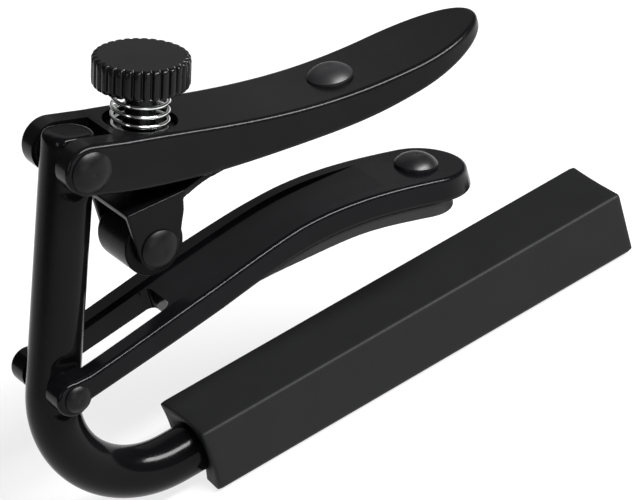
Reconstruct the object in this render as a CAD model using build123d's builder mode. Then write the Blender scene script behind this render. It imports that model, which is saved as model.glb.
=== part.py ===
"""Lever capo for a guitar neck: a bent round bar, a forked cradle and an over-centre closing lever.

Frame, in millimetres: the origin is the centre of the string face, the flat top of the rubber sleeve.
+Z points from the string face to the neck, +X runs along the string bar towards its free end, and every
pivot pin runs along Y. The model stands half closed, with the cradle hanging clear of the roller.
"""

import math
import os

from build123d import *

# Bent bar
ROD_R = 3.5
BAR_Z = -4.8
BEND_R = 13.7
CRADLE_PIVOT = (-48.6, 15.2)
LEVER_PIVOT = (-37.5, 43.65)
FLAT_HALF = 2.8
LEVER_FLAT_REACH = 3.6
CRADLE_FLAT_REACH = 3.2
ROD_TOP = 3.3
ROD_CHAMFER = 0.5
FLAT_RAMP = 1.6

# String sleeve
SLEEVE_HALF_LENGTH = 33.75
SLEEVE_HALF_WIDTH = 5.6
SLEEVE_BOTTOM = -9.4
SLEEVE_BOTTOM_EDGE_R = 0.8
SLEEVE_TOP_EDGE_R = 0.4
SLEEVE_SLOT_HALF = 1.8
BAR_RECESS = 1.2

# Lever and cradle
LEVER_HALF_WIDTH = 6.2
FORK_HALF = 3.1
WALL_HALF = 4.4
LEVER_EAR_R = 3.4
LEVER_SLOT_END = -32.2
LEVER_TIP_X = 22.2
LEVER_NOSE = 12.9
LEVER_EDGE_R = 0.7
CRADLE_FORK_WIDTH_HALF = 6.5
CRADLE_HALF_WIDTH = 5.9
CRADLE_TAPER = (-26.0, -12.0)
CRADLE_EAR_R = 2.4
CRADLE_EAR_AT = (-49.0, 15.2)
CRADLE_SLOT_END = -31.4
CRADLE_TIP_X = 14.9
TROUGH_HALF = 3.85
TROUGH_DEPTH = 0.5
CRADLE_EDGE_R = 0.6
CRADLE_SLOT_CORNER_R = 1.2

# Pivot rivets
LEVER_RIVET_R = 1.6
LEVER_HEAD_R = 2.75
LEVER_HEAD_H = 1.15
CRADLE_RIVET_R = 1.2
CRADLE_HEAD_R = 1.8
CRADLE_HEAD_H = 0.8
RIVET_DIMPLE = 0.3
PIN_CLEARANCE = 0.05
WASHER_T = 0.2
LEVER_WASHER_R = 2.9
CRADLE_WASHER_R = 2.2

# Adjusting screw, measured down its own axis from the middle of the knob's top
KNOB_TOP = (-24.0, 51.4)
SCREW_TILT = 18.5
KNOB_R = 6.3
KNOB_H = 3.95
KNOB_TEETH = 32
FLUTE_R = 0.42
KNOB_BEVEL = 0.35
KNOB_CROWN = 0.9
SCREW_R = 2.0
THREAD_CLEARANCE = 0.05
LEVER_TOP_AT = 8.9
SEAT_DEPTH = 1.2
SEAT_R = 4.8
SPRING_R = 3.62
WIRE_R = 0.28
SPRING_TURNS = 4
SPRING_WASHER_T = 0.4
SPRING_WASHER_GAP = 0.15
SPRING_WASHER_BORE_GAP = 0.3
BUSH_R = 3.1
BUSH_FLANGE_R = 3.9
BUSH_FLANGE_T = 0.8
BUSH_FLANGE_GAP = 0.3
BUSH_END = 12.85
SCREW_END = 15.75
PILOT_R = 1.2
PILOT_LENGTH = 1.2
FOOT_GAP = 0.1
FOOT_R = 2.2
FOOT_END = 17.35
FOOT_EDGE_R = 0.6

# Roller arm
ARM_T = 1.0
ARM_TAIL = (3.0, 33.2)
ARM_TAIL_HALF = 3.6
ARM_TAPER_X = -20.0
ARM_BEND = (-25.0, 33.85)
ARM_END = (-34.3, 34.6)
CLEVIS_HALF = 5.0
CLEVIS_RIGHT_X = -26.0
ARM_RIVET_X = 0.0
ARM_RIVET_R = 1.5
ARM_RIVET_HEAD_R = 3.0
ARM_RIVET_HEAD_H = 1.45
ARM_RIVET_SEAT_Z = 35.12
ARM_RIVET_FOOT_R = 2.4
ARM_RIVET_FOOT_T = 0.8
ROLLER_AT = (-31.4, 28.0)
ROLLER_R = 4.2
ROLLER_HALF = 3.7
ROLLER_EDGE_R = 0.3
AXLE_R = 1.5
AXLE_HEAD_R = 2.6
AXLE_HEAD_H = 1.0
EAR_R = 2.9

# Neck pad and its stud
PAD_HALF = 5.3
PAD_START = -21.5
PAD_TIP_X = 11.8
PAD_EDGE_R = 0.3
STUD_X = 8.5
STUD_R = 1.6
STUD_FOOT_Z = 14.2
STUD_SEAT_Z = 16.62
STUD_HEAD_R = 2.9
STUD_HEAD_H = 1.5

# Longer than any bar is deep or wide, for cuts that go right through
THROUGH = 80

# Side profiles as (X, Z): the top and the bottom edge of each bar
LEVER_TOP = [(-31.5, 44.95), (-25.0, 42.6), (-14.0, 38.65), (-2.0, 35.45), (10.0, 33.95), (LEVER_TIP_X, 33.85)]
LEVER_BOTTOM = [(-34.2, 38.5), (-22.3, 34.7), (-9.0, 31.9), (2.0, 30.3), (12.0, 30.35), (LEVER_TIP_X, 31.9)]
CRADLE_TOP = [(-46.0, 17.3), (-31.0, 19.05), (-19.0, 20.35), (-11.0, 20.75), (-2.0, 19.6), (7.0, 17.1),
              (CRADLE_TIP_X, 14.4)]
CRADLE_BOTTOM = [(-46.7, 13.95), (-40.0, 14.6), (-33.0, 15.3), (-22.0, 16.55), (-11.0, 17.2), (-2.0, 16.1),
                 (7.0, 13.5), (CRADLE_TIP_X, 11.1)]
PAD_BOTTOM = [(-46.7, 12.9), (-33.0, 15.0), (PAD_START, 16.2), (-16.5, 16.0), (-11.0, 15.5), (-4.3, 14.7),
              (1.7, 13.1), (7.0, 11.3), (CRADLE_TIP_X, 8.9)]
LEVER_POCKET = [(-30.3, 28.0), (-30.3, 40.0), (-22.0, 37.5), (-14.0, 36.3), (-4.0, 33.9), (4.0, 33.55),
                (4.0, 28.0)]

SIDE = Plane((0, 0, 0), x_dir=(1, 0, 0), z_dir=(0, -1, 0))
SCREW_DIR = Vector(-math.sin(math.radians(SCREW_TILT)), 0, -math.cos(math.radians(SCREW_TILT)))
UPRIGHT_DIR = Vector(LEVER_PIVOT[0] - CRADLE_PIVOT[0], 0, LEVER_PIVOT[1] - CRADLE_PIVOT[1]).normalized()

os.makedirs("parts", exist_ok=True)


def save(piece, name):
    """Label a finished piece and write its STEP."""
    piece.part.label = name
    export_step(piece.part, f"parts/{name}.step")


def at_xz(point, y=0.0):
    """A point of the side view as a point in space."""
    return Vector(point[0], y, point[1])


def along_y(point, y, direction=1):
    """A plane at height y on a pin's axis, facing along +Y or -Y."""
    return Plane(at_xz(point, y), x_dir=(1, 0, 0), z_dir=(0, direction, 0))


def on_screw(distance):
    """A plane across the screw's axis, facing up it, at a distance down from the knob's top."""
    origin = at_xz(KNOB_TOP) + SCREW_DIR * distance
    return Plane(origin, x_dir=(0, 1, 0), z_dir=-SCREW_DIR)


def upright_plane(distance):
    """A plane across the upright at a distance up from the lever pivot."""
    return Plane(at_xz(LEVER_PIVOT) + UPRIGHT_DIR * distance, x_dir=(0, 1, 0), z_dir=UPRIGHT_DIR)


def side_profile(top, bottom):
    """The closed outline between a bar's top and bottom edges, for make_face."""
    with BuildLine() as outline:
        upper = Spline(*top)
        lower = Spline(*bottom)
        Line(upper @ 0, lower @ 0)
        Line(upper @ 1, lower @ 1)
    return outline.edges()


def rim_edges(bar):
    """The edges where a bar's upright walls meet its top and its bottom."""
    walls = [face for face in bar.faces() if abs(face.normal_at().Z) < 0.01]
    edges = [edge for wall in walls for edge in wall.edges()]
    return ShapeList([edge for edge in edges if sum(edge.is_same(other) for other in edges) == 1])


def dome_profile(face, radius, height, dimple):
    """Half the outline of a domed head standing on y = face, as (radius, y), with a small centre dimple."""
    rise = face + height
    with BuildLine() as outline:
        rim = Line((0, face), (radius, face))
        edge = Line(rim @ 1, (radius, face + 0.25 * height))
        crown = ThreePointArc(edge @ 1, (0.62 * radius, face + 0.83 * height), (dimple, rise))
        floor = Line(crown @ 1, (0, rise - 0.5 * dimple))
        Line(floor @ 1, rim @ 0)
    return outline.edges()


def rivet_part(point, shank_r, face, head_r, head_h, dimple):
    """A cross pin with a domed head outside each side face."""
    with BuildPart() as rivet:
        with BuildSketch(along_y(point, -face)):
            Circle(shank_r)
        extrude(amount=2 * face)
        half = Plane(at_xz(point), x_dir=(1, 0, 0), z_dir=(0, 0, 1))
        with BuildSketch(half):
            make_face(dome_profile(face, head_r, head_h, dimple))
        revolve(axis=Axis(at_xz(point), (0, 1, 0)))
        mirror(about=Plane.XZ)
    return rivet


# --- frame_rod: one round bar, bent through the corner below the cradle pivot
corner_x = CRADLE_PIVOT[0] - (CRADLE_PIVOT[1] - BAR_Z) * UPRIGHT_DIR.X / UPRIGHT_DIR.Z
rod_end = SLEEVE_HALF_LENGTH - BAR_RECESS
rod_top = at_xz(LEVER_PIVOT) + UPRIGHT_DIR * ROD_TOP

with BuildPart() as frame_rod:
    with BuildLine() as rod_path:
        FilletPolyline((rod_end, 0, BAR_Z), (corner_x, 0, BAR_Z), rod_top, radius=BEND_R)
    with BuildSketch(Plane((rod_end, 0, BAR_Z), x_dir=(0, 1, 0), z_dir=(-1, 0, 0))):
        Circle(ROD_R)
    sweep(path=rod_path.wires()[0])
    chamfer(frame_rod.faces().sort_by(Axis(at_xz(LEVER_PIVOT), UPRIGHT_DIR))[-1].edges(), ROD_CHAMFER)
    chamfer(frame_rod.faces().sort_by(Axis.X)[-1].edges(), ROD_CHAMFER)
    # Flats that fit between the lever's and the cradle's ears
    pivot_spacing = (at_xz(LEVER_PIVOT) - at_xz(CRADLE_PIVOT)).length
    for distance, reach in ((0.0, LEVER_FLAT_REACH), (-pivot_spacing, CRADLE_FLAT_REACH)):
        middle = at_xz(LEVER_PIVOT) + UPRIGHT_DIR * distance
        with BuildSketch(Plane(middle, x_dir=(0, 1, 0), z_dir=UPRIGHT_DIR.cross(Vector(0, 1, 0)))):
            for side in (-1, 1):
                # Each flat runs out to the round bar over a ramp
                ramp_end = reach + FLAT_RAMP
                Polygon((side * FLAT_HALF, -reach), (side * FLAT_HALF, reach), (side * ROD_R, ramp_end),
                        (side * 2 * ROD_R, ramp_end), (side * 2 * ROD_R, -ramp_end), (side * ROD_R, -ramp_end),
                        align=None)
        extrude(amount=2 * ROD_R, both=True, mode=Mode.SUBTRACT)
    for point, pin_r in ((LEVER_PIVOT, LEVER_RIVET_R), (CRADLE_PIVOT, CRADLE_RIVET_R)):
        with BuildSketch(along_y(point, -2 * ROD_R)):
            Circle(pin_r + PIN_CLEARANCE)
        extrude(amount=4 * ROD_R, mode=Mode.SUBTRACT)
save(frame_rod, "frame_rod")

# --- string_sleeve: a rubber block split along its underside, pushed over the bar
with BuildPart() as string_sleeve:
    with BuildSketch(Plane((-SLEEVE_HALF_LENGTH, 0, 0), x_dir=(0, 1, 0), z_dir=(1, 0, 0))) as section:
        with Locations((0, SLEEVE_BOTTOM / 2)):
            Rectangle(2 * SLEEVE_HALF_WIDTH, -SLEEVE_BOTTOM)
        fillet(section.vertices().group_by(Axis.Y)[0], SLEEVE_BOTTOM_EDGE_R)
        fillet(section.vertices().group_by(Axis.Y)[-1], SLEEVE_TOP_EDGE_R)
        with Locations((0, BAR_Z)):
            Circle(ROD_R, mode=Mode.SUBTRACT)
        with Locations((0, SLEEVE_BOTTOM)):
            Rectangle(2 * SLEEVE_SLOT_HALF, ROD_R, mode=Mode.SUBTRACT)
    extrude(amount=2 * SLEEVE_HALF_LENGTH)
save(string_sleeve, "string_sleeve")

# --- closing_lever: a cast bar, forked round the upright, with a pocket below for the roller arm
with BuildPart() as closing_lever:
    with BuildSketch(SIDE) as lever_side:
        make_face(side_profile(LEVER_TOP, LEVER_BOTTOM))
        # The ear, hulled on to the end of the bar
        with BuildSketch(mode=Mode.PRIVATE) as lever_ear:
            Polygon(LEVER_TOP[0], LEVER_BOTTOM[0], LEVER_PIVOT, align=None)
            with Locations(LEVER_PIVOT):
                Circle(LEVER_EAR_R)
        make_hull(lever_ear.edges())
    extrude(amount=LEVER_HALF_WIDTH, both=True)
    # Rounded nose, seen from above
    with BuildSketch(Plane.XY) as lever_plan:
        nose_x = LEVER_TIP_X - LEVER_NOSE
        with Locations((nose_x - 35, 0)):
            Rectangle(70, 2 * LEVER_HALF_WIDTH)
        with Locations((nose_x, 0)):
            Ellipse(LEVER_NOSE, LEVER_HALF_WIDTH)
    extrude(amount=THROUGH, mode=Mode.INTERSECT)
    fillet(rim_edges(closing_lever), LEVER_EDGE_R)
    # Fork slot
    with BuildSketch(Plane.XY):
        with Locations((LEVER_SLOT_END - 10, 0)):
            Rectangle(20, 2 * FORK_HALF)
    extrude(amount=THROUGH, mode=Mode.SUBTRACT)
    # Pocket under the web
    with BuildSketch(SIDE):
        Polygon(*LEVER_POCKET, align=None)
    extrude(amount=WALL_HALF, both=True, mode=Mode.SUBTRACT)
    # Spring seat and the bore for the threaded bush
    with BuildSketch(on_screw(LEVER_TOP_AT + SEAT_DEPTH)):
        Circle(SEAT_R)
    extrude(amount=5, mode=Mode.SUBTRACT)
    with BuildSketch(on_screw(BUSH_END - BUSH_FLANGE_T)):
        Circle(BUSH_R)
    extrude(amount=5, mode=Mode.SUBTRACT)
    with BuildSketch(on_screw(BUSH_END + 3)):
        Circle(BUSH_FLANGE_R + BUSH_FLANGE_GAP)
    extrude(amount=3.8, mode=Mode.SUBTRACT)
    with BuildSketch(Plane.XY):
        with Locations((ARM_RIVET_X, 0)):
            Circle(ARM_RIVET_R)
    extrude(amount=THROUGH, mode=Mode.SUBTRACT)
    with BuildSketch(along_y(LEVER_PIVOT, -2 * LEVER_HALF_WIDTH)):
        Circle(LEVER_RIVET_R)
    extrude(amount=4 * LEVER_HALF_WIDTH, mode=Mode.SUBTRACT)
save(closing_lever, "closing_lever")

# --- neck_cradle: the lower arm, forked round the upright, with a shallow trough that the roller rolls in
with BuildPart() as neck_cradle:
    with BuildSketch(SIDE):
        make_face(side_profile(CRADLE_TOP, CRADLE_BOTTOM))
        Polygon(CRADLE_TOP[0], CRADLE_BOTTOM[0], (CRADLE_EAR_AT[0], CRADLE_EAR_AT[1] - CRADLE_EAR_R + 0.1),
                (CRADLE_EAR_AT[0], CRADLE_EAR_AT[1] + CRADLE_EAR_R - 0.1), align=None)
        with Locations(CRADLE_EAR_AT):
            Circle(CRADLE_EAR_R)
    extrude(amount=CRADLE_FORK_WIDTH_HALF, both=True)
    with BuildSketch(Plane.XY) as cradle_plan:
        tip_centre = CRADLE_TIP_X - CRADLE_HALF_WIDTH
        back_end = CRADLE_EAR_AT[0] - 2 * CRADLE_EAR_R
        half_plan = [(back_end, CRADLE_FORK_WIDTH_HALF), (CRADLE_TAPER[0], CRADLE_FORK_WIDTH_HALF),
                     (CRADLE_TAPER[1], CRADLE_HALF_WIDTH), (tip_centre, CRADLE_HALF_WIDTH)]
        Polygon(*half_plan, *[(x, -y) for x, y in reversed(half_plan)], align=None)
        with Locations((tip_centre, 0)):
            Circle(CRADLE_HALF_WIDTH)
    extrude(amount=THROUGH, mode=Mode.INTERSECT)
    fillet(rim_edges(neck_cradle), CRADLE_EDGE_R)
    with BuildSketch(Plane.XY):
        with Locations((CRADLE_SLOT_END - 15, 0)):
            RectangleRounded(30, 2 * FORK_HALF, CRADLE_SLOT_CORNER_R)
    extrude(amount=THROUGH, mode=Mode.SUBTRACT)
    # Trough between two rails: the top edge dropped by its depth, running out before the stud
    with BuildSketch(SIDE):
        trough = [(x, z - TROUGH_DEPTH) for x, z in CRADLE_TOP[:-3]]
        trough.append((CRADLE_TOP[-3][0], CRADLE_TOP[-3][1] - TROUGH_DEPTH / 2))
        trough.append((CRADLE_TOP[-2][0], CRADLE_TOP[-2][1] + TROUGH_DEPTH))
        make_face(side_profile([(x, z + 5) for x, z in trough], trough))
    extrude(amount=TROUGH_HALF, both=True, mode=Mode.SUBTRACT)
    with BuildSketch(Plane.XY):
        with Locations((STUD_X, 0)):
            Circle(STUD_R)
    extrude(amount=THROUGH, mode=Mode.SUBTRACT)
    with BuildSketch(along_y(CRADLE_PIVOT, -2 * CRADLE_FORK_WIDTH_HALF)):
        Circle(CRADLE_RIVET_R)
    extrude(amount=4 * CRADLE_FORK_WIDTH_HALF, mode=Mode.SUBTRACT)
save(neck_cradle, "neck_cradle")

# --- neck_pad: a rubber strip under the cradle, round at the tip like the cradle
with BuildPart() as neck_pad:
    with BuildSketch(SIDE):
        make_face(side_profile(CRADLE_BOTTOM, PAD_BOTTOM))
    extrude(amount=PAD_HALF, both=True)
    with BuildSketch(Plane.XY):
        tip = PAD_TIP_X - PAD_HALF
        with Locations(((PAD_START + tip) / 2, 0)):
            Rectangle(tip - PAD_START, 2 * PAD_HALF)
        with Locations((tip, 0)):
            Circle(PAD_HALF)
    extrude(amount=THROUGH, mode=Mode.INTERSECT)
    # Its lower rim is rounded, and its top stays sharp against the cradle
    lower_face_edges = ShapeList([edge for face in neck_pad.faces() if face.normal_at().Z < -0.5 for edge in face.edges()])
    rim = rim_edges(neck_pad).filter_by(lambda edge: any(edge.is_same(other) for other in lower_face_edges))
    fillet(rim, PAD_EDGE_R)
save(neck_pad, "neck_pad")

# --- pad_stud: a domed rubber button moulded on a stem through the cradle
stud_slope = math.atan2(CRADLE_TOP[5][1] - CRADLE_TOP[6][1], CRADLE_TOP[6][0] - CRADLE_TOP[5][0])
with BuildPart() as pad_stud:
    with BuildSketch(Plane.XY.offset(STUD_FOOT_Z)):
        with Locations((STUD_X, 0)):
            Circle(STUD_R)
    extrude(amount=STUD_SEAT_Z - STUD_FOOT_Z)
    stud_normal = (math.sin(stud_slope), 0, math.cos(stud_slope))
    stud_top = Plane((STUD_X, 0, STUD_SEAT_Z), x_dir=(0, 1, 0), z_dir=stud_normal)
    with BuildSketch(Plane(stud_top.origin, x_dir=(0, 1, 0), z_dir=stud_top.x_dir.cross(stud_top.z_dir))):
        make_face(dome_profile(0.0, STUD_HEAD_R, STUD_HEAD_H, 0.2))
    revolve(axis=Axis(stud_top.origin, stud_top.z_dir))
save(pad_stud, "pad_stud")

# --- pivot rivets, each with a thin washer inside each ear
lever_pivot_rivet = rivet_part(LEVER_PIVOT, LEVER_RIVET_R, LEVER_HALF_WIDTH, LEVER_HEAD_R, LEVER_HEAD_H, RIVET_DIMPLE)
save(lever_pivot_rivet, "lever_pivot_rivet")
cradle_pivot_rivet = rivet_part(CRADLE_PIVOT, CRADLE_RIVET_R, CRADLE_FORK_WIDTH_HALF, CRADLE_HEAD_R,
                                CRADLE_HEAD_H, RIVET_DIMPLE)
save(cradle_pivot_rivet, "cradle_pivot_rivet")


def washer_pair(point, bore_r, outer_r):
    """Two washers, one inside each ear of a fork."""
    inner_face = FORK_HALF - PIN_CLEARANCE
    with BuildPart() as washers:
        for side in (-1, 1):
            with BuildSketch(along_y(point, side * inner_face, -side)):
                Circle(outer_r)
                Circle(bore_r, mode=Mode.SUBTRACT)
            extrude(amount=WASHER_T)
    return washers


lever_pivot_washers = washer_pair(LEVER_PIVOT, LEVER_RIVET_R + PIN_CLEARANCE, LEVER_WASHER_R)
save(lever_pivot_washers, "lever_pivot_washers")
cradle_pivot_washers = washer_pair(CRADLE_PIVOT, CRADLE_RIVET_R + PIN_CLEARANCE, CRADLE_WASHER_R)
save(cradle_pivot_washers, "cradle_pivot_washers")

# --- adjusting_knob: a thumb knob with round-bottomed flutes, closed at the top
with BuildPart() as adjusting_knob:
    with BuildSketch(on_screw(KNOB_H)) as knob_plan:
        Circle(KNOB_R)
        with PolarLocations(KNOB_R + FLUTE_R / 4, KNOB_TEETH):
            Circle(FLUTE_R, mode=Mode.SUBTRACT)
    extrude(amount=KNOB_H)
    # Bevel round the top of the teeth
    with BuildSketch(Plane(at_xz(KNOB_TOP), x_dir=(0, 1, 0), z_dir=SCREW_DIR.cross(Vector(0, 1, 0)))):
        with BuildLine():
            Polyline((KNOB_R - KNOB_BEVEL, 0), (KNOB_R, 0), (KNOB_R, -KNOB_BEVEL), close=True)
        make_face()
    revolve(axis=Axis(at_xz(KNOB_TOP), SCREW_DIR), mode=Mode.SUBTRACT)
    with BuildSketch(on_screw(KNOB_H)):
        Circle(SCREW_R)
    extrude(amount=KNOB_H - KNOB_CROWN, mode=Mode.SUBTRACT)
save(adjusting_knob, "adjusting_knob")

# --- adjusting_screw: the shank pressed into the knob, with a plain pilot at its end
with BuildPart() as adjusting_screw:
    with BuildSketch(on_screw(SCREW_END)):
        Circle(SCREW_R)
    extrude(amount=SCREW_END - KNOB_CROWN)
    with BuildSketch(on_screw(SCREW_END + PILOT_LENGTH)):
        Circle(PILOT_R)
    extrude(amount=PILOT_LENGTH)
save(adjusting_screw, "adjusting_screw")

# --- screw_foot: the thrust tip that stands on the roller arm
with BuildPart() as screw_foot:
    with BuildSketch(on_screw(FOOT_END)):
        Circle(FOOT_R)
    extrude(amount=FOOT_END - SCREW_END - FOOT_GAP)
    fillet(screw_foot.faces().sort_by(Axis(at_xz(KNOB_TOP), SCREW_DIR))[-1].edges(), FOOT_EDGE_R)
    with BuildSketch(on_screw(SCREW_END + PILOT_LENGTH + FOOT_GAP)):
        Circle(PILOT_R + PIN_CLEARANCE)
    extrude(amount=PILOT_LENGTH + 2 * FOOT_GAP, mode=Mode.SUBTRACT)
save(screw_foot, "screw_foot")

# --- threaded_bush: pressed up into the web below the spring seat, with a flange inside the pocket
with BuildPart() as threaded_bush:
    with BuildSketch(on_screw(BUSH_END)):
        Circle(BUSH_FLANGE_R)
    extrude(amount=BUSH_FLANGE_T)
    with BuildSketch(on_screw(BUSH_END)):
        Circle(BUSH_R)
    extrude(amount=BUSH_END - LEVER_TOP_AT - SEAT_DEPTH)
    with BuildSketch(on_screw(BUSH_END)):
        Circle(SCREW_R + THREAD_CLEARANCE)
    extrude(amount=BUSH_END, mode=Mode.SUBTRACT)
save(threaded_bush, "threaded_bush")

# --- spring_washer and adjusting_spring, standing in the seat
washer_top = LEVER_TOP_AT + SEAT_DEPTH - SPRING_WASHER_T
with BuildPart() as spring_washer:
    with BuildSketch(on_screw(LEVER_TOP_AT + SEAT_DEPTH)):
        Circle(SEAT_R - SPRING_WASHER_GAP)
        Circle(SCREW_R + SPRING_WASHER_BORE_GAP, mode=Mode.SUBTRACT)
    extrude(amount=SPRING_WASHER_T)
save(spring_washer, "spring_washer")

spring_height = washer_top - KNOB_H - 2 * WIRE_R - 0.1
with BuildPart() as adjusting_spring:
    spring_base = on_screw(washer_top - WIRE_R - 0.02)
    with BuildLine() as coil:
        Helix(spring_height / SPRING_TURNS, spring_height, SPRING_R, spring_base.origin, spring_base.z_dir)
    with BuildSketch(Plane(coil.line @ 0, z_dir=coil.line % 0)):
        Circle(WIRE_R)
    sweep(path=coil.wires()[0], is_frenet=True)
save(adjusting_spring, "adjusting_spring")

# --- roller_arm: a steel strip riveted in the pocket, its other end folded down as two ears
with BuildPart() as roller_arm:
    # The strip and the web of the clevis, seen from the side
    with BuildSketch(SIDE):
        strip_top = [ARM_TAIL, ARM_BEND, ARM_END]
        Polygon(*strip_top, *[(x, z - ARM_T) for x, z in reversed(strip_top)], align=None)
    extrude(amount=CLEVIS_HALF, both=True)
    # Its outline from above: full width over the roller, narrower inside the lever
    with BuildSketch(Plane.XY):
        with BuildLine():
            tail_round = ARM_TAIL[0] - ARM_TAIL_HALF
            far_side = Line((tail_round, ARM_TAIL_HALF), (ARM_TAPER_X, ARM_TAIL_HALF))
            far_taper = TangentArc(far_side @ 1, (CLEVIS_RIGHT_X, CLEVIS_HALF), tangent=far_side % 1)
            far_ear = Line(far_taper @ 1, (ARM_END[0] - 1, CLEVIS_HALF))
            back = Line(far_ear @ 1, (ARM_END[0] - 1, -CLEVIS_HALF))
            near_ear = Line(back @ 1, (CLEVIS_RIGHT_X, -CLEVIS_HALF))
            near_side = Line((ARM_TAPER_X, -ARM_TAIL_HALF), (tail_round, -ARM_TAIL_HALF))
            TangentArc(near_side @ 0, near_ear @ 1, tangent=-(near_side % 0))
            ThreePointArc(near_side @ 1, (ARM_TAIL[0], 0), far_side @ 0)
        make_face()
    extrude(amount=THROUGH, mode=Mode.INTERSECT)
    # Ears: from the web down round the axle
    for side in (-1, 1):
        with BuildSketch(along_y((0, 0), side * CLEVIS_HALF, -1)) as ear:
            with BuildSketch(mode=Mode.PRIVATE) as ear_outline:
                with Locations(ROLLER_AT):
                    Circle(EAR_R)
                Polygon(ARM_END, (ARM_END[0], ROLLER_AT[1]), ROLLER_AT, (CLEVIS_RIGHT_X - 0.6, 31.4),
                        (CLEVIS_RIGHT_X, ARM_BEND[1]), align=None)
            make_hull(ear_outline.edges())
        extrude(amount=side * ARM_T)
    with BuildSketch(along_y(ROLLER_AT, -2 * CLEVIS_HALF)):
        Circle(AXLE_R)
    extrude(amount=4 * CLEVIS_HALF, mode=Mode.SUBTRACT)
    with BuildSketch(Plane.XY):
        with Locations((ARM_RIVET_X, 0)):
            Circle(ARM_RIVET_R + 0.1)
    extrude(amount=THROUGH, mode=Mode.SUBTRACT)
save(roller_arm, "roller_arm")

# --- roller_arm_rivet: its domed head is the disc on the lever's top
arm_rivet_slope = math.atan2(LEVER_TOP[3][1] - LEVER_TOP[4][1], LEVER_TOP[4][0] - LEVER_TOP[3][0])
rivet_foot = ARM_TAIL[1] - ARM_T - 0.1
with BuildPart() as roller_arm_rivet:
    with BuildSketch(Plane.XY.offset(rivet_foot - ARM_RIVET_FOOT_T)):
        with Locations((ARM_RIVET_X, 0)):
            Circle(ARM_RIVET_FOOT_R)
    extrude(amount=ARM_RIVET_FOOT_T)
    with BuildSketch(Plane.XY.offset(rivet_foot)):
        with Locations((ARM_RIVET_X, 0)):
            Circle(ARM_RIVET_R)
    extrude(amount=ARM_RIVET_SEAT_Z - rivet_foot)
    rivet_normal = (math.sin(arm_rivet_slope), 0, math.cos(arm_rivet_slope))
    rivet_top = Plane((ARM_RIVET_X, 0, ARM_RIVET_SEAT_Z), x_dir=(0, 1, 0), z_dir=rivet_normal)
    with BuildSketch(Plane(rivet_top.origin, x_dir=(0, 1, 0), z_dir=rivet_top.x_dir.cross(rivet_top.z_dir))):
        make_face(dome_profile(0.0, ARM_RIVET_HEAD_R, ARM_RIVET_HEAD_H, 0.1))
    revolve(axis=Axis(rivet_top.origin, rivet_top.z_dir))
save(roller_arm_rivet, "roller_arm_rivet")

# --- roller and roller_axle
with BuildPart() as roller:
    with BuildSketch(along_y(ROLLER_AT, -ROLLER_HALF)):
        Circle(ROLLER_R)
        Circle(AXLE_R + PIN_CLEARANCE, mode=Mode.SUBTRACT)
    extrude(amount=2 * ROLLER_HALF)
    fillet(roller.edges().filter_by(GeomType.CIRCLE).filter_by(lambda edge: edge.radius > AXLE_R + 1), ROLLER_EDGE_R)
save(roller, "roller")

roller_axle = rivet_part(ROLLER_AT, AXLE_R, CLEVIS_HALF, AXLE_HEAD_R, AXLE_HEAD_H, 0.2)
save(roller_axle, "roller_axle")
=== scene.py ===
"""Looks of the lever capo: coatings, rubber, wire and knurls on the fixed CAD frame. Sizes are in mm unless a
comment says otherwise, and the scene is in metres."""

import math

import bmesh
import bpy
from mathutils import Matrix, Vector


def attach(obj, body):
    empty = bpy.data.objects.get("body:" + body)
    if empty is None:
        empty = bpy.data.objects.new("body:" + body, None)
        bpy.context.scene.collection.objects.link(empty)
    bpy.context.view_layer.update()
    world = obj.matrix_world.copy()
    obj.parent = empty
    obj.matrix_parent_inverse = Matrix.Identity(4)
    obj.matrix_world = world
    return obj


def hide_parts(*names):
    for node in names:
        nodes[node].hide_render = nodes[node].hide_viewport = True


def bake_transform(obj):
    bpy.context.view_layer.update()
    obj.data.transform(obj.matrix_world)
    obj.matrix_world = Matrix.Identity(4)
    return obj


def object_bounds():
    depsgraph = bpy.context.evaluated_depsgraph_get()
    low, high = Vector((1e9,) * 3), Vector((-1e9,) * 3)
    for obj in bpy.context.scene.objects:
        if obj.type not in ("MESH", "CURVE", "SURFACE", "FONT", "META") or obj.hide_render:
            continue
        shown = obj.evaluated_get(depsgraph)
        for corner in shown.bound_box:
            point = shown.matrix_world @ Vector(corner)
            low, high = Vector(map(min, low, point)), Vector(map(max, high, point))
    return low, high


MM = 0.001
WELD = 2e-6  # points nearer than this, in metres, are one point

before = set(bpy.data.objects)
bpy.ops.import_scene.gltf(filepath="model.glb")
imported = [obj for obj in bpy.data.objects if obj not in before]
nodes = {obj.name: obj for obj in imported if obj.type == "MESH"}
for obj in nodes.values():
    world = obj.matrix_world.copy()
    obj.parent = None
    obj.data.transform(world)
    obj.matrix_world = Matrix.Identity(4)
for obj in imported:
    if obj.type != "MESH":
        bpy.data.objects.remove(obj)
cad_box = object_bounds()


# ---------------------------------------------------------------- shapes

def new_object(name, mesh):
    obj = bpy.data.objects.new(name, mesh)
    bpy.context.collection.objects.link(obj)
    return obj


def shade_smooth(mesh):
    mesh.polygons.foreach_set("use_smooth", [True] * len(mesh.polygons))
    mesh.update()


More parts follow.
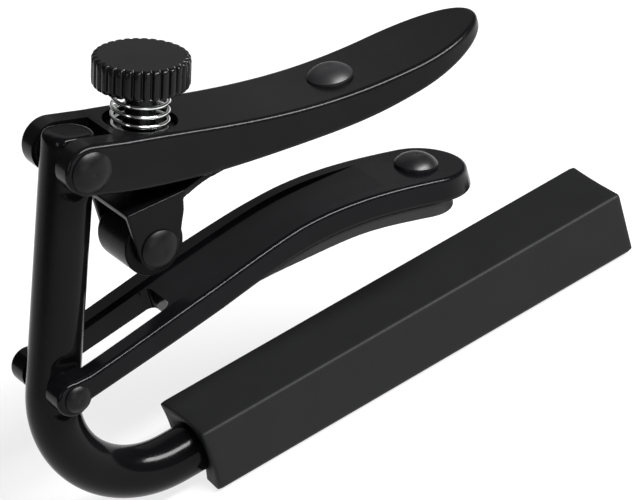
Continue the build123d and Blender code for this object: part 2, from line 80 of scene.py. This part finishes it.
def rounded_copy(node, name, voxel, rounds):
    """A copy of a CAD solid with its edges rounded: remeshed with voxels of a size in mm, then relaxed."""
    source = nodes[node]
    mesh = bpy.data.meshes.new_from_object(source)
    mesh.transform(source.matrix_world)
    welded = bmesh.new()
    welded.from_mesh(mesh)
    bmesh.ops.remove_doubles(welded, verts=welded.verts, dist=WELD)
    welded.to_mesh(mesh)
    welded.free()
    obj = new_object(name, mesh)
    remesh = obj.modifiers.new("voxels", "REMESH")
    remesh.mode = "VOXEL"
    remesh.voxel_size = voxel * MM
    remesh.use_smooth_shade = True
    relax = obj.modifiers.new("relax", "SMOOTH")
    relax.factor = 0.5
    relax.iterations = rounds
    shaped = bpy.data.meshes.new_from_object(obj.evaluated_get(bpy.context.evaluated_depsgraph_get()))
    obj.modifiers.clear()
    obj.data = shaped
    shade_smooth(shaped)
    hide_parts(node)
    return obj


def loft(name, rings):
    """A closed skin over equal rings of points, with a flat cap on the first and the last."""
    grid = bmesh.new()
    rows = [[grid.verts.new(p) for p in ring] for ring in rings]
    count = len(rings[0])
    for a, b in zip(rows, rows[1:]):
        for i in range(count):
            j = (i + 1) % count
            grid.faces.new((a[i], a[j], b[j], b[i]))
    grid.faces.new(list(reversed(rows[0])))
    grid.faces.new(rows[-1])
    bmesh.ops.recalc_face_normals(grid, faces=grid.faces)
    mesh = bpy.data.meshes.new(name)
    grid.to_mesh(mesh)
    grid.free()
    return new_object(name, mesh)


def tube_rings(points, radius, sides):
    """Rings round a path, carried along it without twist."""
    rings = []
    side = None
    for i, point in enumerate(points):
        ahead = (points[min(i + 1, len(points) - 1)] - points[max(i - 1, 0)]).normalized()
        if side is None:
            side = ahead.orthogonal().normalized()
        side = (side - ahead * side.dot(ahead)).normalized()
        up = ahead.cross(side)
        rings.append([point + radius * (math.cos(2 * math.pi * k / sides) * side
                                        + math.sin(2 * math.pi * k / sides) * up) for k in range(sides)])
    return rings


# ---------------------------------------------------------------- materials

NOISE_LOW, NOISE_HIGH = 0.3, 0.7  # the part of a noise texture's range that is used
ROUGH_SPREAD = 0.03


def bump_node(tree, texture, strength, depth_mm):
    raised = tree.nodes.new("ShaderNodeBump")
    raised.inputs["Strength"].default_value = strength
    raised.inputs["Distance"].default_value = depth_mm * MM
    tree.links.new(texture.outputs["Fac"], raised.inputs["Height"])
    return raised


def material(name, colour, rough, *, metallic=0.0, specular=0.5, mottle=0.15, grain=1200.0, bump=0.1,
             bump_mm=0.004, scratch=0.0, fine=1300.0):
    """A procedural finish: coarse noise varies its colour, fine noise its roughness and surface."""
    made = bpy.data.materials.new(name)
    made.use_nodes = True
    tree = made.node_tree
    shader = tree.nodes["Principled BSDF"]
    shader.inputs["Metallic"].default_value = metallic
    shader.inputs["Specular IOR Level"].default_value = specular
    place = tree.nodes.new("ShaderNodeTexCoord")
    large = tree.nodes.new("ShaderNodeTexNoise")
    large.inputs["Scale"].default_value = grain
    large.inputs["Detail"].default_value = 4.0
    small = tree.nodes.new("ShaderNodeTexNoise")
    small.inputs["Scale"].default_value = fine
    small.inputs["Detail"].default_value = 3.0
    for texture in (large, small):
        tree.links.new(place.outputs["Object"], texture.inputs["Vector"])
    tint = tree.nodes.new("ShaderNodeValToRGB")
    tint.color_ramp.elements[0].position = NOISE_LOW
    tint.color_ramp.elements[1].position = NOISE_HIGH
    tint.color_ramp.elements[0].color = (*[c * (1 - mottle) for c in colour], 1)
    tint.color_ramp.elements[1].color = (*[c * (1 + mottle) for c in colour], 1)
    tree.links.new(large.outputs["Fac"], tint.inputs["Fac"])
    tree.links.new(tint.outputs["Color"], shader.inputs["Base Color"])
    span = tree.nodes.new("ShaderNodeMapRange")
    span.inputs["From Min"].default_value = NOISE_LOW
    span.inputs["From Max"].default_value = NOISE_HIGH
    span.inputs["To Min"].default_value = rough - ROUGH_SPREAD
    span.inputs["To Max"].default_value = rough + ROUGH_SPREAD
    tree.links.new(small.outputs["Fac"], span.inputs["Value"])
    tree.links.new(span.outputs["Result"], shader.inputs["Roughness"])
    raised = bump_node(tree, small, bump, bump_mm)
    if scratch:
        lines = tree.nodes.new("ShaderNodeTexWave")
        lines.inputs["Scale"].default_value = scratch
        lines.inputs["Distortion"].default_value = 1.5
        tree.links.new(place.outputs["Object"], lines.inputs["Vector"])
        second = bump_node(tree, lines, bump, bump_mm)
        tree.links.new(raised.outputs["Normal"], second.inputs["Normal"])
        raised = second
    tree.links.new(raised.outputs["Normal"], shader.inputs["Normal"])
    return made


def dress(obj, finish):
    obj.data.materials.clear()
    obj.data.materials.append(finish)


coat_lever = material("lever_coat", (0.0028, 0.0028, 0.0031), 0.2, specular=0.1, grain=260)
coat_cradle = material("cradle_coat", (0.0022, 0.0022, 0.0027), 0.17, specular=0.1, grain=260)
coat_rod = material("rod_coat", (0.002, 0.002, 0.0023), 0.15, specular=0.095, grain=220)
coat_strip = material("strip_coat", (0.002, 0.002, 0.0023), 0.24, specular=0.09, grain=300)
coat_rivet = material("rivet_coat", (0.0036, 0.0036, 0.004), 0.34, specular=0.13, grain=500, bump=0.2)
coat_disc = material("disc_coat", (0.011, 0.011, 0.0118), 0.42, specular=0.28, grain=500, bump=0.2)
coat_knob = material("knob_coat", (0.0024, 0.0024, 0.0028), 0.22, specular=0.17, grain=420, bump=0.14)
steel_screw = material("screw_steel", (0.018, 0.018, 0.019), 0.3, metallic=1.0, grain=700, scratch=900)
spring_steel = material("spring_wire", (0.72, 0.73, 0.72), 0.17, metallic=1.0, mottle=0.06, grain=900, bump=0.05)
washer_steel = material("washer_steel", (0.035, 0.035, 0.036), 0.3, metallic=1.0, grain=800, scratch=700)
bush_steel = material("bush_steel", (0.04, 0.04, 0.042), 0.3, metallic=1.0, grain=700, scratch=1200)
nylon = material("black_nylon", (0.008, 0.008, 0.008), 0.4, specular=0.3, grain=900, bump=0.05)
roller_black = material("roller_plastic", (0.002, 0.002, 0.002), 0.26, specular=0.06, grain=500)
rubber_sleeve = material("sleeve_rubber", (0.0036, 0.0037, 0.0039), 0.6, specular=0.2, mottle=0.14, grain=160,
                         fine=2200, bump=0.4, bump_mm=0.012)
rubber_pad = material("pad_rubber", (0.006, 0.006, 0.0062), 0.5, specular=0.3, grain=260, fine=2200, bump=0.3,
                      bump_mm=0.012)
rubber_stud = material("stud_rubber", (0.005, 0.005, 0.0055), 0.36, specular=0.25, grain=400)

for node, finish in {
    "closing_lever": coat_lever, "neck_cradle": coat_cradle,
    "lever_pivot_rivet": coat_rivet, "cradle_pivot_rivet": coat_rivet,
    "lever_pivot_washers": nylon, "cradle_pivot_washers": nylon, "threaded_bush": bush_steel,
    "spring_washer": washer_steel, "adjusting_screw": steel_screw, "screw_foot": bush_steel,
    "roller_arm_rivet": coat_disc, "roller": roller_black, "roller_axle": coat_rivet, "pad_stud": rubber_stud,
}.items():
    dress(nodes[node], finish)

# ---------------------------------------------------------------- bent bar and roller arm

bar = rounded_copy("frame_rod", "frame_rod_bar", 0.17, 60)
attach(bar, "frame")
dress(bar, coat_rod)

arm = rounded_copy("roller_arm", "roller_arm_pressing", 0.12, 12)
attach(arm, "arm")
dress(arm, coat_strip)

# ---------------------------------------------------------------- neck pad

pad = rounded_copy("neck_pad", "neck_pad_moulding", 0.15, 26)
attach(pad, "cradle")
dress(pad, rubber_pad)

# ---------------------------------------------------------------- string sleeve

HALF_L, HALF_W, BOTTOM = 33.75, 5.6, -9.4
BORE_Z, BORE_R, SLOT_HALF = -4.8, 3.5, 1.8
TOP_R, LOW_R = 0.5, 0.9  # corner radii above and below
CORNER_STEPS, BORE_STEPS = 6, 36
TOP_STEPS, SIDE_STEPS, LOW_STEPS = 12, 10, 4
BOW_ACROSS, BOW_DOWN = 0.35, 0.45  # how far the cut end bows in, over its width and over its height
FAR_END_BOW = 0.4  # the far end bows this much as far
BOW_POWER = 24  # a high power keeps the bow close to the ends
SOFT_FROM = 0.988  # share of the half length where the ends begin to draw in
SOFT_SQUEEZE = 0.02  # and by what share they do
END_STATIONS = (0.95, 0.98, 0.994, 1)


def corner(cy, cz, radius, start):
    """A quarter circle in the section, from an angle in degrees."""
    turns = [math.radians(start + 90 * k / CORNER_STEPS) for k in range(CORNER_STEPS + 1)]
    return [(cy + radius * math.cos(a), cz + radius * math.sin(a)) for a in turns]


def line(a, b, steps):
    """The points between two corners, without the corners."""
    return [(a[0] + (b[0] - a[0]) * k / steps, a[1] + (b[1] - a[1]) * k / steps) for k in range(1, steps)]


def sleeve_section():
    """Outline of the slit block, once round: outside, into the slit, round the bore and out again."""
    right = corner(HALF_W - TOP_R, -TOP_R, TOP_R, 0)
    left = corner(-HALF_W + TOP_R, -TOP_R, TOP_R, 90)
    low_left = corner(-HALF_W + LOW_R, BOTTOM + LOW_R, LOW_R, 180)
    low_right = corner(HALF_W - LOW_R, BOTTOM + LOW_R, LOW_R, 270)
    lips = (-SLOT_HALF, BOTTOM), (SLOT_HALF, BOTTOM)
    meet = math.degrees(math.asin(SLOT_HALF / BORE_R))
    around = [math.radians(-meet - (360 - 2 * meet) * k / BORE_STEPS) for k in range(BORE_STEPS + 1)]
    outline = list(right)
    outline += line(right[-1], left[0], TOP_STEPS) + left
    outline += line(left[-1], low_left[0], SIDE_STEPS) + low_left
    outline += line(low_left[-1], lips[0], LOW_STEPS) + [lips[0]]
    outline += [(BORE_R * math.sin(a), BORE_Z - BORE_R * math.cos(a)) for a in around]
    outline += [lips[1]] + line(lips[1], low_right[0], LOW_STEPS) + low_right
    outline += line(low_right[-1], right[0], SIDE_STEPS)
    return outline


def sleeve_end(y, z):
    """How far the cut end bows in at a point of the section, in mm."""
    across = 1 - (y / HALF_W) ** 2
    down = 1 - ((z - BOTTOM / 2) / (BOTTOM / 2)) ** 2
    return BOW_ACROSS * max(across, 0) + BOW_DOWN * max(down, 0)


rings = []
for t in [-t for t in reversed(END_STATIONS)] + [-0.9 + 0.1 * k for k in range(19)] + list(END_STATIONS):
    soft = max(0.0, (abs(t) - SOFT_FROM) / (1 - SOFT_FROM))
    squeeze = 1 - SOFT_SQUEEZE * soft
    bow = abs(t) ** BOW_POWER * (1 if t < 0 else -FAR_END_BOW)
    rings.append([Vector((t * HALF_L + sleeve_end(y, z) * bow, y * squeeze,
                          BOTTOM / 2 + (z - BOTTOM / 2) * squeeze)) * MM for y, z in sleeve_section()])
sleeve = loft("string_sleeve_moulding", rings)
shade_smooth(sleeve.data)
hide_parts("string_sleeve")
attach(sleeve, "frame")
dress(sleeve, rubber_sleeve)

# ---------------------------------------------------------------- adjusting knob and spring

TILT = math.radians(18.5)
KNOB_TOP = Vector((-24.0, 0, 51.4)) * MM
DOWN = Vector((-math.sin(TILT), 0, -math.cos(TILT)))
ACROSS = Vector((0, 1, 0))
FORWARD = DOWN.cross(ACROSS)
KNOB_R, KNOB_H, TEETH = 6.3, 3.95, 32
RIM_CLEARANCE = 0.05  # keeps the rim just inside the CAD knob
FLUTE_DEPTH, FLUTE_SHARE, FLUTE_POWER = 0.46, 0.42, 2.2  # a flute's depth in mm, share of the pitch and roundness
CROWN = 0.035  # how far the middle of a tooth stands out
RIM_STEPS = TEETH * 12
FACE_RADII = (0.3, 0.5, 0.8, 2.0, 4.2)
FACE_HOLLOW, FACE_R = 0.05, 5.5  # the face is hollowed by this much at its middle and not at this radius
DIMPLE_DEPTH, DIMPLE_R = 0.1, 0.1
UNDER_RADII = (5.0, 2.05)  # the underside, from the rim in to the screw
# distance below the top, inset of the rim and share of the fluting, from the top's edge down
RIM = [(0.0, 0.75, 0.0), (0.0, 0.62, 0.3), (0.03, 0.42, 0.75), (0.12, 0.2, 1.0), (0.3, 0.06, 1.0), (0.5, 0.0, 1.0),
       (1.2, 0.0, 1.0), (2.2, 0.0, 1.0), (3.2, 0.0, 1.0), (3.6, 0.04, 1.0), (3.82, 0.16, 1.0), (3.95, 0.34, 1.0)]


def on_screw(distance, radius, angle):
    return KNOB_TOP + (DOWN * distance + (ACROSS * math.cos(angle) + FORWARD * math.sin(angle)) * radius) * MM


def relief(angle):
    """How far the knurled rim stands out: broad teeth between narrow round-bottomed flutes."""
    phase = (angle * TEETH / (2 * math.pi)) % 1.0
    away = abs(phase - 0.5) / 0.5
    flute = FLUTE_DEPTH * (1 - min(away / FLUTE_SHARE, 1.0) ** FLUTE_POWER)
    return CROWN * (2 * max(away - 0.5, 0)) ** 2 - flute


def knob_ring(distance, radius, fluting=0.0):
    """A ring of the knob, with its flutes cut to a share of their depth."""
    angles = [2 * math.pi * k / RIM_STEPS for k in range(RIM_STEPS)]
    return [on_screw(distance, radius + relief(angle) * fluting, angle) for angle in angles]


dimple = [knob_ring(DIMPLE_DEPTH, DIMPLE_R)]
face = [knob_ring(FACE_HOLLOW * (1 - r / FACE_R), r) for r in FACE_RADII]
rim = [knob_ring(distance, KNOB_R - RIM_CLEARANCE - inset, fluting) for distance, inset, fluting in RIM]
under = [knob_ring(KNOB_H, r) for r in UNDER_RADII]
knob = loft("adjusting_knob_turned", dimple + face + rim + under)
shade_smooth(knob.data)
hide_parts("adjusting_knob")
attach(knob, "thumbscrew")
dress(knob, coat_knob)

WIRE_R, COIL_R, WIRE_SIDES = 0.26, 3.6, 12
SEAT = 9.7  # depth of the spring's seat below the knob's top
TURNS, COIL_STEPS = 4.8, 40
END_TURNS, END_RISE = 0.6, 0.35  # each end coil is nearly closed: it rises this far over this part of a turn
WIRE_START = 2.2  # angle where the wire starts
path = []
for k in range(int(TURNS * COIL_STEPS) + 1):
    turn = k / COIL_STEPS
    # an even pitch between the end coils
    rise = min(max((turn - END_TURNS) / (TURNS - 2 * END_TURNS), 0.0), 1.0)
    travel = (SEAT - KNOB_H - 2 * WIRE_R - 2 * END_RISE) * rise
    travel += END_RISE * (min(turn / END_TURNS, 1) + max((turn - TURNS + END_TURNS) / END_TURNS, 0))
    path.append(on_screw(SEAT - WIRE_R - travel, COIL_R, 2 * math.pi * turn + WIRE_START))
spring = loft("adjusting_spring_wire", tube_rings(path, WIRE_R * MM, WIRE_SIDES))
shade_smooth(spring.data)
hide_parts("adjusting_spring")
dress(spring, spring_steel)
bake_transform(spring)

# ---------------------------------------------------------------- floor, light, camera

FLOOR_GAP, FLOOR_SIZE = 0.0003, 1.5  # in metres
FLOOR_GLOW, WORLD_GLOW = 0.78, 0.08
floor_z = cad_box[0][2] - FLOOR_GAP
plane = bmesh.new()
bmesh.ops.create_grid(plane, x_segments=2, y_segments=2, size=FLOOR_SIZE)
floor_mesh = bpy.data.meshes.new("floor")
plane.to_mesh(floor_mesh)
plane.free()
floor = new_object("floor", floor_mesh)
floor.location.z = floor_z
pale = material("floor_paper", (0.22, 0.22, 0.22), 0.9, specular=0.1, mottle=0.005, grain=20, bump=0.0)
pale.node_tree.nodes["Principled BSDF"].inputs["Emission Color"].default_value = (1, 1, 1, 1)
pale.node_tree.nodes["Principled BSDF"].inputs["Emission Strength"].default_value = FLOOR_GLOW
dress(floor, pale)

world = bpy.data.worlds.new("studio")
bpy.context.scene.world = world
world.use_nodes = True
world.node_tree.nodes["Background"].inputs["Color"].default_value = (1, 1, 1, 1)
world.node_tree.nodes["Background"].inputs["Strength"].default_value = WORLD_GLOW

# the camera and every light face this point
target = Vector((-8.094, 0, 12.298)) * MM


def softbox(name, place, width, height, watts, along=(1, 0, 0)):
    """A rectangle of light that faces the object, its width along a given direction. Sizes in metres."""
    lamp = bpy.data.lights.new(name, "AREA")
    lamp.shape = "RECTANGLE"
    lamp.size = width
    lamp.size_y = height
    lamp.energy = watts
    obj = bpy.data.objects.new(name, lamp)
    bpy.context.collection.objects.link(obj)
    away = (Vector(place) - target).normalized()
    wide = Vector(along)
    wide = (wide - away * wide.dot(away)).normalized()
    tall = away.cross(wide)
    obj.matrix_world = Matrix.Translation(Vector(place)) @ Matrix((wide, tall, away)).transposed().to_4x4()


softbox("key", (0.36, -0.42, 0.6), 0.72, 0.2, 21, along=(0.9, 0.3, -0.35))
softbox("front", (-0.15, -0.9, 0.25), 0.5, 0.3, 1.5)
softbox("behind", (0.36, 0.8, 0.6), 1.0, 0.7, 0.85)
softbox("left", (-0.75, -0.25, 0.45), 0.5, 0.15, 1.2, along=(0, 0, 1))

AZIMUTH, ELEVATION, ROLL = (math.radians(v) for v in (-23.853, 32.448, -16.187))
DISTANCE, LENS = 0.6, 259.4  # metres from the target, and focal length in mm
back = Vector((math.sin(AZIMUTH) * math.cos(ELEVATION),
               -math.cos(AZIMUTH) * math.cos(ELEVATION),
               math.sin(ELEVATION)))
level = Vector((math.cos(AZIMUTH), math.sin(AZIMUTH), 0))
upward = back.cross(level)
right = math.cos(ROLL) * level + math.sin(ROLL) * upward
up = -math.sin(ROLL) * level + math.cos(ROLL) * upward
camera = bpy.data.objects.new("camera", bpy.data.cameras.new("camera"))
bpy.context.collection.objects.link(camera)
camera.data.sensor_width = 36.0
camera.data.lens = LENS
camera.data.clip_start = 0.01
camera.matrix_world = Matrix.Translation(target + DISTANCE * back) @ Matrix((right, up, back)).transposed().to_4x4()
bpy.context.scene.camera = camera
bpy.context.scene.view_settings.view_transform = "Standard"
